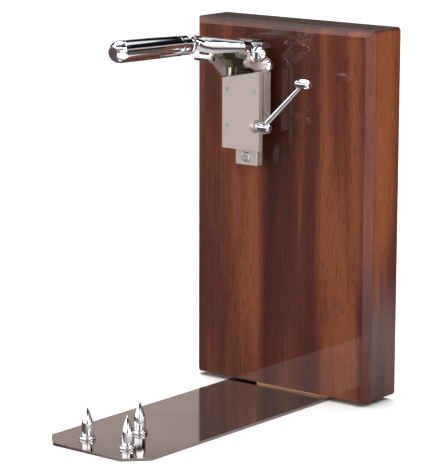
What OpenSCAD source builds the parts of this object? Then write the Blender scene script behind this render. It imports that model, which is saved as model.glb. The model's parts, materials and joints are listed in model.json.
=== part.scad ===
// Stand-mounted lever opener: a thick lacquered backboard on a steel base plate
// with three spikes, and a chromed lever head that lifts a toothed ram.
// +X is to the right of the board, -Y is the front, +Z is up. The origin is on the
// ground at the centre of the footprint. Sizes called "stand" are measured forwards
// from the board's front face, and sizes called "level" upwards from its lower edge.

/* [Backboard] */
// Width of the backboard
board_w = 238; // [200:1:300]
// Height of the backboard
board_h = 400; // [320:1:500]
// Thickness of the backboard
board_t = 52; // [46:1:70]
// Width of the bevel round the front face's sides and top
board_bevel = 7.5; // [3:0.5:10]
// Radius of the backboard's outline corners
board_corner = 4; // [2:0.5:8]

/* [Base plate] */
// Width of the base plate
plate_w = 134; // [110:1:190]
// How far the plate reaches in front of the board
plate_reach = 315; // [270:1:400]
// Thickness of the base plate
plate_t = 3; // [2.5:0.5:6]
// Length cut off each front corner
plate_clip = 22; // [5:1:28]
// How far the plate stops short of the board's back face
plate_inset = 8; // [2:1:10]
// Thickness of the packing strip between plate and board
packing_t = 2; // [1:0.5:4]
// Width of the notch in the packing strip's front left corner
notch_w = 37; // [20:1:45]
// Depth of that notch
notch_d = 12; // [6:1:16]

/* [Spikes] */
// Height of a spike above the plate
spike_h = 35; // [28:1:50]
// Height of a spike's point
spike_point_h = 18; // [12:0.5:22]
// Diameter of a spike's shank
spike_d = 12; // [10:0.5:14]
// Diameter of a spike's collar
spike_collar_d = 16.5; // [15:0.5:22]
// Thickness of a spike's collar
spike_collar_t = 3.5; // [2:0.5:5]
// Distance between the two front spikes
spike_pitch = 54; // [40:1:70]
// Distance from the front pair back to the rear spike
spike_row = 50; // [35:1:80]
// Distance from the plate's front edge to the front pair
spike_inset = 32; // [26:1:60]

/* [Head] */
// Centre of the head, left or right of the board's centre
head_x = -31; // [-55:1:0]
// Distance from the board's top down to the pivot shaft's axis
pivot_drop = 30; // [26:1:60]
// Width across the two side plates
head_w = 50; // [48:0.5:64]
// Thickness of a side plate
side_t = 3; // [2.5:0.25:3.75]
// Thickness of the block behind the head
block_t = 6.8; // [5:0.2:9]
// Thickness of the back plate
back_t = 3; // [2:0.5:4]

/* [Front cover] */
// Distance from the pivot's axis down to the cover's lower edge
cover_drop = 106; // [96:1:130]
// Distance from the pivot's axis down to the cover's top left corner
cover_drop_left = 30; // [28:1:36]
// Distance from the pivot's axis down to the cover's top right corner
cover_drop_right = 20; // [19:1:26]
// Thickness of the front cover
cover_t = 2; // [1.5:0.25:2.5]
// Space between the rails and the front cover
cover_room = 6.5; // [6:0.25:8]
// Depth of the front cover's side flanges
flange_depth = 6.5; // [5:0.25:7]

/* [Ram] */
// Width of the ram
ram_w = 29; // [24:0.5:32]
// Thickness of the ram behind its teeth
ram_t = 9.5; // [8.5:0.5:12]
// How far the ram hangs below the front cover
ram_hang = 18; // [12:1:30]
// Height of the end block
end_block_h = 18; // [16:0.5:19]
// Gap between the ram and what guides it
slide_gap = 0.2; // [0.1:0.05:0.3]

/* [Gear] */
// Tooth module of the rack and the sector
gear_module = 2; // [1.6:0.05:2.1]
// Teeth that the sector would have all the way round
gear_teeth = 17; // [16:1:18]
// Width of the sector and of the rack's teeth
gear_w = 16; // [10:0.5:17]
// Play between a sector tooth and its space in the rack
backlash = 0.3; // [0.2:0.05:0.5]

/* [Pivot] */
// Diameter of the pivot shaft
shaft_d = 9; // [7.5:0.5:11]
// Running clearance of a shaft in its bore, on the radius
shaft_gap = 0.05; // [0.03:0.01:0.1]
// Wall of a pivot bush
bush_wall = 2; // [1.5:0.25:2.5]
// Radius of the side plates round the pivot
ear_r = 10; // [9.5:0.25:12]

/* [Lever] */
// Thickness of a cheek
cheek_t = 3; // [2.5:0.25:3.5]
// Thickness of the yoke's top plate
top_t = 2.5; // [2:0.25:3]
// Stand at which the cheeks start to draw in
yoke_straight = 58; // [56:0.5:68]
// Stand of the yoke's front end
yoke_front = 114; // [106:1:124]
// Width of the yoke's front end
yoke_nose_w = 15; // [14:0.5:17]
// Rise of the yoke's top plate towards the grip, in degrees
yoke_rise = 9; // [6:0.2:10]
// Height of the grip's axis at the ferrule above the pivot's axis
grip_rise = 15; // [13:0.5:17]
// Tilt of the grip above level, in degrees
grip_tilt = 1.5; // [0:0.5:4]
// Diameter of the grip
grip_d = 23; // [20:0.5:25]
// Length of the grip behind its end cap
grip_l = 86; // [76:1:104]
// Length of the ferrule
ferrule_l = 22; // [18:1:30]
// Length of the end cap
cap_l = 14; // [12:0.5:20]

/* [Lock lever] */
// Height of the lock lever's pivot above the front cover's lower edge
lock_rise = 28; // [21:0.5:34]
// Distance from the cover's face forwards to the lock lever's pivot
lock_reach = 4.5; // [4:0.5:8]
// Diameter of the lock lever's pivot
lock_pin_d = 5; // [4:0.5:6]
// Distance from the hub's axis to the knob's centre
lock_rod_l = 73; // [60:1:80]
// Lean of the rod above the pivot axis, in degrees
lock_lean = 44; // [40:1:60]
// Diameter of the lock lever's knob
lock_knob_d = 11.5; // [10:0.5:14]
// Length of the lock lever's knob
lock_knob_l = 18; // [14:0.5:22]

/* [Hidden] */
$fn = 48;
fit_gap = 0.05; // clearance round screws, bushes and pins that stay put
run_gap = 0.5; // side clearance between the cheeks and the side plates
ear_gap = 0.9; // clearance between the side plates' ears and the yoke's top plate

// The board's place: its front face and its lower edge
depth = plate_reach + board_t;
board_y = depth / 2 - board_t;
board_z = plate_t + packing_t;
plate_back = board_t - plate_inset;
plate_screw_x = plate_w / 2 - 21.5;
plate_screw_rows = [18, plate_back - 8];

// Stands of the layers in the head, from the board outwards
back_stand = block_t + back_t;
ram_back = back_stand + slide_gap;
ram_front = ram_back + ram_t;
lip_t = 1.8;
lip_reach = 3;
rail_front = ram_front + slide_gap + lip_t;
rail_mid = (back_stand + rail_front) / 2;
cover_back = rail_front + cover_room;
cover_stand = cover_back + cover_t;
lock_stand = cover_stand + lock_reach;

// Half widths in the head
side_x = head_w / 2;
rail_x = side_x - side_t;
ram_x = ram_w / 2;
cheek_x = side_x + run_gap;
cheek_out = cheek_x + cheek_t;
rail_hole_x = (rail_x + ram_x + slide_gap) / 2;
block_w = 24;
mount_screw_x = 7;

// Levels in the head, all hung from the pivot's axis
pivot_level = board_h - pivot_drop;
cover_level = pivot_level - cover_drop;
cover_top_left = pivot_level - cover_drop_left;
cover_top_right = pivot_level - cover_drop_right;
rail_level = cover_level + 18;
rail_top = pivot_level - 8;
dome_level = rail_top - 7;
side_screw_level = rail_level + 22;
cover_screw_levels = [cover_level + 25, cover_top_left - 12];
mount_screw_levels = [rail_level + 16, rail_top - 22];
block_level = rail_level + 6;
block_top = rail_top - 12;
ram_level = cover_level - ram_hang;
ram_top = pivot_level + 12;
rack_level = cover_level + 28;
lock_level = cover_level + lock_rise;

// The gear pair: its pitch line sets the pivot's stand
pitch_r = gear_module * gear_teeth / 2;
addendum = 0.9 * gear_module;
dedendum = 1.25 * gear_module;
pressure = 20;
rack_pitch = PI * gear_module;
pitch_stand = ram_front + dedendum;
pivot_stand = pitch_stand + pitch_r;
tooth_angle = 360 / gear_teeth;

// What sits on the pivot shaft
bush_d = shaft_d + 2 * bush_wall;
bush_proud = 0.2; // how far a bush stands out of each face of its side plate
sleeve_d = shaft_d + 4;
sleeve_gap = 0.3;
hub_r = shaft_d / 2 + 5.5;
key_w = 2.5;
key_sunk = 1.4; // depth of the key in the shaft
key_h = 2.8;
stud_d = shaft_d - 3.5;
stud_l = 10;
washer_t = 1.5;
washer_d = stud_d + 11.5;
nut_d = stud_d + 9.5;
nut_h = 5.5;
dome_r = stud_d / 2 + 2.85;
pivot_cap_d = stud_d + 3;
pivot_cap_l = 19;
spring_wire = 1.8;
spring_bore = sleeve_d + 1;

// The yoke's outline
yoke_height = (ear_r + ear_gap + top_t) / cos(yoke_rise);
yoke_back = pitch_stand + addendum + 5.2;
eye_r = washer_d / 2;
belly_level = pivot_level + 4.5;
belly_rise = 0.5; // how much higher the cheek's lower edge is in front of the pivot
tail_stand = ram_back + 2;
tail_level = pivot_level + 5.5;
grip_level = pivot_level + grip_rise;
nose_t = 9;
tang_d = 7;
tang_l = ferrule_l + grip_l - 12;
nose_level = grip_level - tang_d / 2 - 2.2;
nose_back = yoke_front - 20;
rivet_d = 4;
nose_x = yoke_nose_w / 2;
taper_a = atan2(cheek_out - nose_x, yoke_front - yoke_straight);
rivet_l = yoke_nose_w + nose_t * tan(taper_a) + 1;

// The stop pin and the spring post
stop_d = 7;
stop_neck_d = 5.5;
stop_lug_r = 5;
stop_reach = (washer_d + stop_d) / 2 + 0.4; // from the pivot's axis to the stop pin's
stop_drop = 41; // how far below level that line points, in degrees
stop_stand = pivot_stand + stop_reach * cos(stop_drop);
stop_level = pivot_level - stop_reach * sin(stop_drop);
stop_l = 22;
post_d = 4.4;
post_neck_d = 3;
post_stand = cover_back - 3;
tab_t = 2.5;
tab_level = cover_top_left - 4;
post_top = tab_level + 15;

// The ram's end
tongue_x = ram_x * 0.45;
tongue_t = 4;
tongue_h = end_block_h + 2;
end_screw_d = 4;
end_head_d = 10.5;
end_head_h = 2.4;

// The lock lever
lock_hub_d = lock_pin_d + 6.2;
lock_hub_l = 18.5;
lock_hub_x = side_x + run_gap;
lock_head_d = lock_pin_d + 3;
lock_pin_in = 6; // how far the pin reaches into the hub
lock_lug_r = lock_hub_d / 2 + 1.5;
lock_rod_d = 4;
lock_rod_root_d = 6.6;
lock_rod_tip_d = 4.4;
lock_rod_end = lock_rod_l - lock_knob_d / 2 + 0.5;
lock_socket = 4.8; // where the rod's tenon starts in the hub
lock_tip_d = 3;

// Screws: shank, head and length
wood_screw = [4.5, 8.5, 34];
mount_screw = [4.5, 8.5, 32];
spike_screw = [5, 9.5, 14];
small_screw = [3, 5.6, 8];
cover_screw = [3, 5.6, 12];
dome_head_r = 6.5;
dome_head_h = 6.5;

// Notches down the front edge of the right side plate
notch_r = 1.1;
edge_notches = 5;
edge_notch_pitch = 5.6;

// ---- Shared shapes ----

// Places children in the head: X from its centre, Y the stand (negative), Z the level
module in_head() {
    translate([head_x, board_y, board_z]) children();
}

// Places children with X across, Y from the board's face and Z the level
module on_board() {
    translate([0, board_y, board_z]) children();
}

// Extrudes a [-stand, level] outline sideways, from x over thickness t
module across(x, t) {
    translate([x, 0, 0]) rotate([90, 0, 90]) linear_extrude(t) children();
}

// A round bar along X, starting at x
module bar_x(x, l, d, stand, level) {
    translate([x, -stand, level]) rotate([0, 90, 0]) cylinder(d = d, h = l);
}

// Countersunk screw with its head's face at the origin and its tip at -Z
module flush_screw(size) {
    head_h = (size[1] - size[0]) / 2;
    difference() {
        union() {
            translate([0, 0, -head_h]) cylinder(d1 = size[0], d2 = size[1], h = head_h);
            translate([0, 0, -size[2]]) cylinder(d = size[0], h = size[2] - head_h);
        }
        translate([0, 0, -head_h * 0.8]) cylinder(d = size[0] * 0.8, h = head_h, $fn = 6);
    }
}

// The hole that flush_screw fits, open above its head
module flush_hole(size) {
    head_h = (size[1] - size[0]) / 2;
    d = size[0] + 2 * fit_gap;
    head_d = size[1] + 2 * fit_gap;
    translate([0, 0, -head_h]) cylinder(d1 = d, d2 = head_d, h = head_h);
    translate([0, 0, -size[2] - fit_gap]) cylinder(d = d, h = size[2]);
    cylinder(d = head_d, h = 1);
}

// Turned barrel along X that narrows in a curve to its ends, centred on the origin
module barrel(d, l) {
    narrowing = 0.34;
    side = [for (t = [-1 : 0.2 : 1]) [d / 2 * (1 - narrowing * pow(abs(t), 2.2)), t * l / 2]];
    rotate([0, 90, 0]) rotate_extrude() polygon(concat([[0, -l / 2]], side, [[0, l / 2]]));
}

// ---- Base ----

module board_blank() {
    r = board_corner;
    w = board_w / 2;
    outline = [[-w + r, r], [w - r, r], [w - r, board_h - r], [-w + r, board_h - r]];
    translate([0, board_t, 0]) rotate([90, 0, 0]) linear_extrude(board_t) union() {
        translate([-w, r]) square([board_w, board_h - 2 * r]);
        translate([-w + r, 0]) square([board_w - 2 * r, board_h]);
        for (p = outline) translate(p) circle(r);
    }
}

// Three-sided strip that bevels an edge of length l running along Z
module bevel_strip(l) {
    b = board_bevel;
    linear_extrude(l) polygon([[-1, -1], [b + 1, -1], [b, 0], [0, b], [-1, b + 1]]);
}

module backboard() {
    color("saddlebrown") on_board() difference() {
        board_blank();
        translate([-board_w / 2, 0, -1]) bevel_strip(board_h + 2);
        translate([board_w / 2, 0, board_h + 1]) rotate([0, 180, 0]) bevel_strip(board_h + 2);
        translate([-board_w / 2 - 1, 0, board_h]) rotate([0, 90, 0]) bevel_strip(board_w + 2);
        plate_screw_places() flush_hole(wood_screw);
        mount_screw_places() flush_hole(mount_screw);
    }
}

module plate_outline() {
    w = plate_w / 2;
    polygon([
        [-w, plate_back], [w, plate_back],
        [w, -plate_reach + plate_clip], [w - plate_clip, -plate_reach],
        [-w + plate_clip, -plate_reach], [-w, -plate_reach + plate_clip]
    ]);
}

// Screws from below that hold the plate to the board
module plate_screw_places() {
    for (x = [-1, 1], y = plate_screw_rows)
        translate([x * plate_screw_x, y, -board_z]) rotate([180, 0, 0]) children();
}

function spike_places() = [
    [-spike_pitch / 2, -plate_reach + spike_inset],
    [spike_pitch / 2, -plate_reach + spike_inset],
    [0, -plate_reach + spike_inset + spike_row]
];

module base_plate() {
    color("silver") on_board() difference() {
        translate([0, 0, -board_z]) linear_extrude(plate_t) plate_outline();
        plate_screw_places() flush_hole(wood_screw);
        for (p = spike_places())
            translate([p[0], p[1], -board_z]) rotate([180, 0, 0]) flush_hole(spike_screw);
    }
}

module packing_strip() {
    w = plate_w / 2;
    color("peru") on_board() difference() {
        translate([0, 0, -packing_t]) linear_extrude(packing_t) polygon([
            [w, 0], [w, plate_back], [-w, plate_back],
            [-w, notch_d], [-w + notch_w, notch_d], [-w + notch_w, 0]
        ]);
        plate_screw_places() flush_hole(wood_screw);
    }
}

module plate_screws() {
    color("silver") on_board() plate_screw_places() flush_screw(wood_screw);
}

// Collar, shank and a slightly rounded cone for a point, with a threaded hole from below
module spike(i) {
    r = spike_d / 2;
    collar_r = spike_collar_d / 2;
    shank_h = spike_h - spike_point_h;
    point = [for (a = [0 : 0.1 : 1]) [max(0.2, r * (1 - pow(a, 1.2))), shank_h + spike_point_h * a]];
    p = spike_places()[i];
    color("gainsboro") on_board() translate([p[0], p[1], -packing_t]) difference() {
        rotate_extrude() polygon(concat(
            [[0, 0], [collar_r - 0.6, 0], [collar_r, 0.6], [collar_r, spike_collar_t - 0.8],
             [collar_r - 0.8, spike_collar_t], [r, spike_collar_t]],
            point,
            [[0, spike_h]]
        ));
        translate([0, 0, -1]) cylinder(d = spike_screw[0] + 2 * fit_gap, h = spike_screw[2]);
    }
}

module spike_left() {
    spike(0);
}

module spike_right() {
    spike(1);
}

module spike_rear() {
    spike(2);
}

module spike_screws() {
    color("silver") on_board() for (p = spike_places())
        translate([p[0], p[1], -board_z]) rotate([180, 0, 0]) flush_screw(spike_screw);
}

// ---- Head: the fixed pieces ----

module mount_screw_places() {
    for (x = [-1, 1], z = mount_screw_levels)
        translate([head_x + x * mount_screw_x, -back_stand, z]) rotate([90, 0, 0]) children();
}

module mounting_block() {
    color("dimgray") on_board() difference() {
        translate([head_x - block_w / 2, -block_t, block_level])
            cube([block_w, block_t, block_top - block_level]);
        mount_screw_places() flush_hole(mount_screw);
    }
}

module back_plate() {
    color("darkgray") on_board() difference() {
        translate([head_x - rail_x, -back_stand, rail_level])
            cube([2 * rail_x, back_t, rail_top - rail_level]);
        mount_screw_places() flush_hole(mount_screw);
    }
}

module mounting_screws() {
    color("silver") on_board() mount_screw_places() flush_screw(mount_screw);
}

// Side plate from x over its thickness; above the cover's edge, which is at level top,
// it leans forwards to the stop pin's lug and the ear round the pivot
module side_plate(x, top) {
    edge = top + 2;
    difference() {
        union() {
            bar_x(x, side_t, 2 * ear_r, pivot_stand, pivot_level);
            bar_x(x, side_t, 2 * stop_lug_r, stop_stand, stop_level);
            across(x, side_t) polygon([
                [-back_stand, rail_level], [-rail_front, rail_level], [-rail_front, edge],
                [-cover_stand - 2, edge], [-stop_stand - 1, stop_level - stop_lug_r + 1],
                [-stop_stand - stop_lug_r + 1, stop_level], [-pivot_stand - ear_r + 1.5, pivot_level],
                [-pivot_stand + 6, pivot_level + 5.5], [-back_stand - 2, rail_top], [-back_stand, rail_top]
            ]);
        }
        bar_x(x - 1, side_t + 2, bush_d, pivot_stand, pivot_level);
        bar_x(x - 1, side_t + 2, small_screw[0] + 2 * fit_gap, rail_mid, dome_level);
    }
}

module side_plate_left() {
    color("lightgray") in_head() difference() {
        side_plate(-side_x, cover_top_left);
        side_screw_place(-1) flush_hole(small_screw);
        bar_x(-side_x - 1, side_t + 2, stop_neck_d + 2 * fit_gap, stop_stand, stop_level);
    }
}

module side_plate_right() {
    color("lightgray") in_head() difference() {
        side_plate(side_x - side_t, cover_top_right);
        side_screw_place(1) flush_hole(small_screw);
        for (i = [0 : edge_notches - 1])
            bar_x(rail_x - 1, side_t + 2, 2 * notch_r, rail_front, side_screw_level + i * edge_notch_pitch);
    }
}

// Flush screw that joins a side plate and its rail, on the left (-1) or the right (1)
module side_screw_place(side) {
    translate([side * side_x, -rail_mid, side_screw_level]) rotate([0, side * 90, 0]) children();
}

// Rail with a lip that keeps the ram against the back plate
module guide_rail(side) {
    inner = ram_x + slide_gap;
    difference() {
        translate([0, 0, rail_level]) linear_extrude(rail_top - rail_level) polygon([
            [side * rail_x, -back_stand], [side * inner, -back_stand],
            [side * inner, -ram_front - slide_gap],
            [side * (ram_x - lip_reach), -ram_front - slide_gap],
            [side * (ram_x - lip_reach), -rail_front], [side * rail_x, -rail_front]
        ]);
        side_screw_place(side) flush_hole(small_screw);
        cover_screw_places() flush_hole(cover_screw);
        dome_screw_place(side) translate([0, 0, -side_t - 5])
            cylinder(d = small_screw[0] + 2 * fit_gap, h = side_t + 6);
    }
}

module guide_rail_left() {
    color("goldenrod") in_head() guide_rail(-1);
}

module guide_rail_right() {
    color("goldenrod") in_head() guide_rail(1);
}

module side_screws() {
    color("silver") in_head() for (side = [-1, 1]) side_screw_place(side) flush_screw(small_screw);
}

module dome_screw_place(side) {
    translate([side * side_x, -rail_mid, dome_level]) rotate([0, side * 90, 0]) children();
}

// Dome-headed screws at the tops of the rails
module dome_screws() {
    skirt = 1.5;
    arc = [for (a = [0 : 15 : 90]) [dome_head_r * cos(a), skirt + (dome_head_h - skirt) * sin(a)]];
    color("gainsboro") in_head() for (side = [-1, 1]) dome_screw_place(side) union() {
        rotate_extrude() polygon(concat([[0, 0], [dome_head_r, 0]], arc));
        translate([0, 0, -side_t - 4]) cylinder(d = small_screw[0], h = side_t + 4.5);
    }
}

module pivot_bushes() {
    color("darkgoldenrod") in_head() for (x = [-side_x, rail_x]) difference() {
        bar_x(x - bush_proud, side_t + 2 * bush_proud, bush_d, pivot_stand, pivot_level);
        bar_x(x - 1, side_t + 2, shaft_d + 2 * shaft_gap, pivot_stand, pivot_level);
    }
}

module stop_pin() {
    color("gainsboro") in_head() union() {
        bar_x(-side_x - stop_l, stop_l, stop_d, stop_stand, stop_level);
        bar_x(-side_x, side_t, stop_neck_d, stop_stand, stop_level);
    }
}

// Flush screws that hold the cover, in standoffs on the rails
module cover_screw_places() {
    for (x = [-1, 1], z = cover_screw_levels)
        translate([x * rail_hole_x, -cover_stand, z]) rotate([90, 0, 0]) children();
}

// Folded cover with two side flanges, a lug for the lock lever and a tab for the spring post
module front_cover() {
    color("rosybrown") in_head() difference() {
        union() {
            translate([0, -cover_back, 0]) rotate([90, 0, 0]) linear_extrude(cover_t) polygon([
                [-side_x, cover_level], [side_x, cover_level],
                [side_x, cover_top_right], [-side_x, cover_top_left]
            ]);
            across(-side_x, cover_t) flange_outline(cover_top_left);
            across(side_x - cover_t, cover_t) union() {
                flange_outline(cover_top_right);
                translate([-lock_stand, lock_level]) circle(lock_lug_r);
            }
            translate([-side_x + cover_t, -cover_back, tab_level])
                cube([rail_x - ram_x + cover_t, cover_room - slide_gap, tab_t]);
        }
        cover_screw_places() flush_hole(cover_screw);
        bar_x(side_x - cover_t - 1, cover_t + 2, lock_pin_d + 2 * fit_gap, lock_stand, lock_level);
        translate([-rail_hole_x, -post_stand, tab_level - 1]) cylinder(d = post_neck_d, h = tab_t + 2);
    }
}

// Side view of a cover flange that reaches up to level top
module flange_outline(top) {
    translate([-cover_stand, cover_level]) square([flange_depth, top - cover_level]);
}

module cover_standoffs() {
    color("silver") in_head() for (x = [-1, 1], z = cover_screw_levels)
        translate([x * rail_hole_x, -rail_front, z]) rotate([90, 0, 0]) difference() {
            cylinder(d = 6, h = cover_back - rail_front);
            translate([0, 0, -1]) cylinder(d = cover_screw[0] + 2 * fit_gap, h = cover_back);
        }
}

module cover_screws() {
    color("silver") in_head() cover_screw_places() flush_screw(cover_screw);
}

module spring_post() {
    color("gainsboro") in_head() translate([-rail_hole_x, -post_stand, 0]) union() {
        translate([0, 0, tab_level + tab_t]) cylinder(d = post_d, h = post_top - tab_level - tab_t);
        translate([0, 0, tab_level]) cylinder(d = post_neck_d, h = tab_t);
        translate([0, 0, tab_level + tab_t]) cylinder(d = post_d + 1.6, h = 2.4, $fn = 6);
    }
}

// Torsion spring round the left sleeve, as the tube that its coils fill
module return_spring() {
    side_room = 1.5;
    l = rail_x - gear_w / 2 - 2 * side_room;
    color("dimgray") in_head() difference() {
        bar_x(-rail_x + side_room, l, spring_bore + 2 * spring_wire, pivot_stand, pivot_level);
        bar_x(-rail_x, l + 2 * side_room, spring_bore, pivot_stand, pivot_level);
    }
}

// Pin through the cover's lug, with a head inside the cover
module lock_pivot() {
    head_l = 3;
    color("gainsboro") in_head() union() {
        bar_x(side_x - cover_t - head_l, head_l, lock_head_d, lock_stand, lock_level);
        bar_x(side_x - cover_t, cover_t + run_gap + lock_pin_in, lock_pin_d, lock_stand, lock_level);
    }
}

// ---- The ram ----

// One tooth of the rack, as [-stand, level] points round its own centre
function rack_tooth(z) = [
    for (p = [[-dedendum - 0.1, -1], [addendum, -1], [addendum, 1], [-dedendum - 0.1, 1]])
        [-pitch_stand - p[0], z + p[1] * (rack_pitch / 4 - p[0] * tan(pressure))]
];

module ram() {
    first = ceil((rack_level - pivot_level) / rack_pitch);
    last = floor((ram_top - pivot_level) / rack_pitch);
    reach = 10;
    color("lightsteelblue") in_head() difference() {
        union() {
            translate([-ram_x, -ram_front, ram_level + end_block_h])
                cube([ram_w, ram_t, ram_top - ram_level - end_block_h]);
            translate([-tongue_x, -ram_back - tongue_t, ram_level + 2])
                cube([2 * tongue_x, tongue_t, tongue_h]);
            across(-gear_w / 2, gear_w) intersection() {
                union() {
                    for (k = [first : last]) polygon(rack_tooth(pivot_level + (k + 0.5) * rack_pitch));
                }
                translate([-pitch_stand - reach, rack_level]) square([2 * reach, ram_top - rack_level]);
            }
        }
        end_screw_place() cylinder(d = end_screw_d + 2 * fit_gap, h = 3 * ram_t, center = true);
    }
}

module end_screw_place() {
    translate([0, -ram_front, ram_level + end_block_h / 2]) rotate([90, 0, 0]) children();
}

module end_block() {
    color("lightgray") in_head() difference() {
        translate([-ram_x, -ram_front, ram_level]) cube([ram_w, ram_t, end_block_h]);
        translate([-tongue_x - fit_gap, -ram_back - tongue_t - fit_gap, ram_level + 2 - fit_gap])
            cube([2 * (tongue_x + fit_gap), tongue_t + 1, tongue_h]);
        end_screw_place() cylinder(d = end_screw_d + 2 * fit_gap, h = 3 * ram_t, center = true);
    }
}

module end_block_screw() {
    color("gainsboro") in_head() end_screw_place() difference() {
        union() {
            cylinder(d = end_head_d, h = end_head_h - 0.8);
            translate([0, 0, end_head_h - 0.8]) cylinder(d1 = end_head_d, d2 = end_head_d - 2, h = 0.8);
            translate([0, 0, -ram_t + 1]) cylinder(d = end_screw_d, h = ram_t);
        }
        translate([0, 0, 1]) cylinder(d = 3.4, h = end_head_h, $fn = 6);
    }
}

// ---- The main lever ----

// Level of the top plate's upper face at a given stand
function top_at(stand) = pivot_level + yoke_height + (stand - pivot_stand) * tan(yoke_rise);

// Keeps the part of a side outline that lies over a plan outline
module plan_and_side() {
    intersection() {
        translate([0, 0, pivot_level - 50]) linear_extrude(100) children(0);
        across(-head_w, 2 * head_w) children(1);
    }
}

// Plan of the right cheek: straight beside the side plate, then drawn in to the nose
module cheek_plan() {
    bend_in = yoke_straight - cheek_t * tan(taper_a / 2);
    nose_in = nose_x - cheek_t / cos(taper_a);
    polygon([
        [cheek_x, 0], [cheek_out, 0], [cheek_out, -yoke_straight], [nose_x, -yoke_front],
        [nose_in, -yoke_front], [cheek_x, -bend_in]
    ]);
}

// Side outline of a cheek, with the eye round the pivot and a tail over the dome screw
module cheek_side() {
    translate([-pivot_stand, pivot_level]) circle(eye_r);
    polygon([
        [-tail_stand, tail_level], [-pivot_stand + eye_r - 1, tail_level - 1],
        [-pivot_stand, pivot_level], [-pivot_stand - eye_r + 0.5, belly_level],
        [-yoke_straight, belly_level + belly_rise], [-nose_back, belly_level + belly_rise],
        [-yoke_front, nose_level],
        [-yoke_front, top_at(yoke_front)], [-tail_stand - 3, top_at(tail_stand + 3)],
        [-tail_stand, top_at(tail_stand) - 3]
    ]);
}

module top_plan() {
    polygon([
        [-cheek_out, -yoke_back], [cheek_out, -yoke_back], [cheek_out, -yoke_straight],
        [nose_x, -yoke_front], [-nose_x, -yoke_front], [-cheek_out, -yoke_straight]
    ]);
}

module top_side() {
    drop = top_t / cos(yoke_rise);
    polygon([
        [-yoke_back, top_at(yoke_back)], [-yoke_front, top_at(yoke_front)],
        [-yoke_front, top_at(yoke_front) - drop], [-yoke_back, top_at(yoke_back) - drop]
    ]);
}

// Places children on the grip's axis, along +Z from the yoke's front end
module on_grip() {
    translate([0, -yoke_front, grip_level]) rotate([90 - grip_tilt, 0, 0]) children();
}

module yoke() {
    color("gainsboro") in_head() difference() {
        union() {
            plan_and_side() {
                cheek_plan();
                cheek_side();
            }
            plan_and_side() {
                mirror([1, 0]) cheek_plan();
                cheek_side();
            }
            plan_and_side() {
                top_plan();
                top_side();
            }
            translate([-nose_x, -yoke_front, nose_level])
                cube([yoke_nose_w, nose_t, top_at(yoke_front - nose_t) - top_t - nose_level]);
        }
        bar_x(-cheek_out - 1, 2 * cheek_out + 2, shaft_d + 2 * fit_gap, pivot_stand, pivot_level);
        on_grip() translate([0, 0, -nose_t - 2]) cylinder(d = tang_d + 2 * fit_gap, h = nose_t + 12);
        rivet_place() cylinder(d = rivet_d + 2 * fit_gap, h = 2 * rivet_l, center = true);
    }
}

module rivet_place() {
    translate([0, -yoke_front + nose_t / 2, grip_level]) rotate([0, 90, 0]) children();
}

module tang() {
    color("silver") in_head() difference() {
        on_grip() translate([0, 0, -nose_t]) cylinder(d = tang_d, h = tang_l + nose_t);
        rivet_place() cylinder(d = rivet_d + 2 * fit_gap, h = 2 * rivet_l, center = true);
    }
}

module tang_rivet() {
    color("silver") in_head() rivet_place() cylinder(d = rivet_d, h = rivet_l, center = true);
}

// Turned ring between the yoke and the grip
module ferrule() {
    r = grip_d / 2;
    start = (r - 2.5) * tan(grip_tilt) + fit_gap;
    color("gainsboro") in_head() on_grip() rotate_extrude() polygon([
        [tang_d / 2 + fit_gap, start], [r - 2.5, start], [r - 1.2, 1.6], [r - 1.2, 5], [r - 2, 5.8],
        [r - 2, 7.2], [r - 1.2, 8], [r - 1.2, ferrule_l - 3], [r - 0.6, ferrule_l - 2.4],
        [r - 0.6, ferrule_l], [tang_d / 2 + fit_gap, ferrule_l]
    ]);
}

module grip() {
    r = grip_d / 2;
    narrowing = 0.9; // on the radius, from the cap to the ferrule
    swell = 0.3;
    side = [for (a = [0 : 0.1 : 1])
        [r - narrowing * (1 - a) + swell * sin(180 * a) - 0.1, ferrule_l + grip_l * a]];
    color("black") in_head() on_grip() rotate_extrude() polygon(concat(
        [[tang_d / 2 + fit_gap, ferrule_l]], side,
        [[tang_d / 2 + fit_gap, ferrule_l + grip_l]]
    ));
}

// Domed cap that closes the grip, with a dished face
module grip_cap() {
    r = grip_d / 2;
    z = ferrule_l + grip_l;
    arc = [for (a = [0 : 10 : 60]) [r * cos(a), z + 3 + (cap_l - 3) * sin(a) / sin(60)]];
    color("gainsboro") in_head() on_grip() rotate_extrude() polygon(concat(
        [[0, z], [r, z]], arc, [[r * 0.4, z + cap_l - 1], [0, z + cap_l - 1.6]]
    ));
}

// Shaft with a stud at each end and a keyway for the sector
module pivot_shaft() {
    l = cheek_out + stud_l;
    color("silver") in_head() difference() {
        union() {
            bar_x(-cheek_out, 2 * cheek_out, shaft_d, pivot_stand, pivot_level);
            bar_x(-l, 2 * l, stud_d, pivot_stand, pivot_level);
        }
        key_slot();
    }
}

module key_slot() {
    w = key_w + 2 * fit_gap;
    translate([-gear_w / 2 - fit_gap, -pivot_stand - w / 2, pivot_level + shaft_d / 2 - key_sunk - fit_gap])
        cube([gear_w + 2 * fit_gap, w, key_h + 2 * fit_gap]);
}

module gear_key() {
    color("dimgray") in_head()
        translate([-gear_w / 2, -pivot_stand - key_w / 2, pivot_level + shaft_d / 2 - key_sunk])
            cube([gear_w, key_w, key_h]);
}

// Angle, in degrees, by which an involute flank has turned at radius r
function involute_turn(r) = let (a = acos(min(1, pitch_r * cos(pressure) / r))) tan(a) * 180 / PI - a;

// Half of a sector tooth's angular width at radius r
function tooth_half(r) = (rack_pitch / 2 - backlash) / (2 * pitch_r) * 180 / PI
    + involute_turn(pitch_r) - involute_turn(r);

function polar(r, a) = [r * cos(a), r * sin(a)];

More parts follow.
